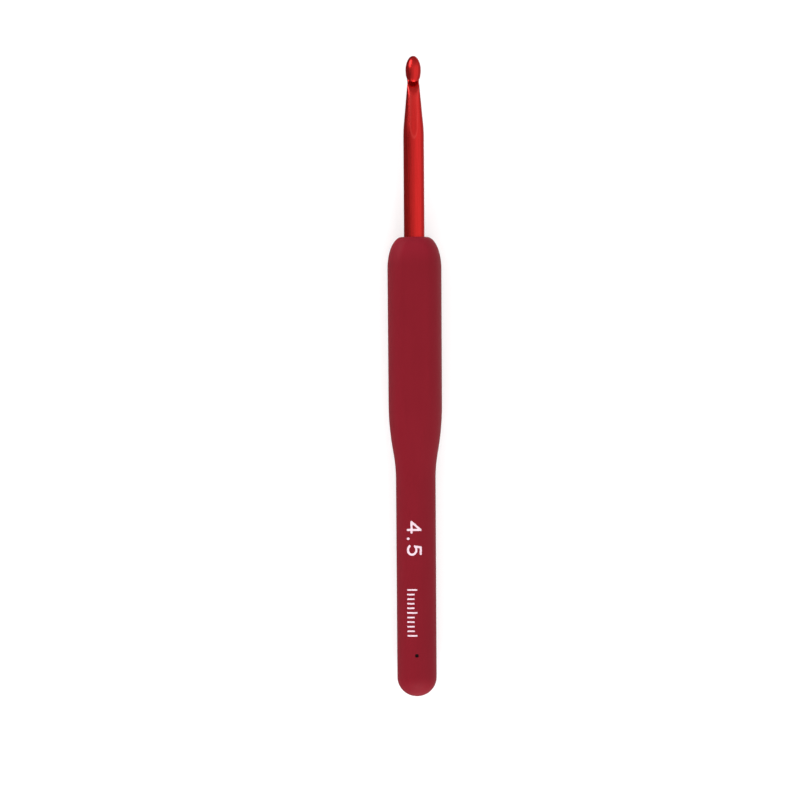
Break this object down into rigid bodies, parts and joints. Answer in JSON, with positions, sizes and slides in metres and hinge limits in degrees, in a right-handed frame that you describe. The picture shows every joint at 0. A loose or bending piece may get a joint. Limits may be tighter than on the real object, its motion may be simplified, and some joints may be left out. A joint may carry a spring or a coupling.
{
  "type": "crochet hook",
  "caption": "Crochet hook: a turned metal hook with a tapered throat, set in a flattened soft-touch grip that narrows to a round tail.",
  "frame": {"origin": "on the surface it lies on, under the middle of its length and on its axis", "axes": "+Y along the axis towards the hook's tip, +Z the front, where the mouth opens, +X to the right seen from the front with the tip up"},
  "size_m": [0.0118, 0.14, 0.01],
  "materials": {
    "anodised_metal": "satin red anodised",
    "core_plastic": "moulded",
    "soft_grip": "matte soft touch",
    "size_ink": "printed ink"
  },
  "bodies": {
    "root": {"hook_shaft": "anodised_metal", "handle_core": "core_plastic", "grip_sleeve": "soft_grip"}
  },
  "joints": []
}
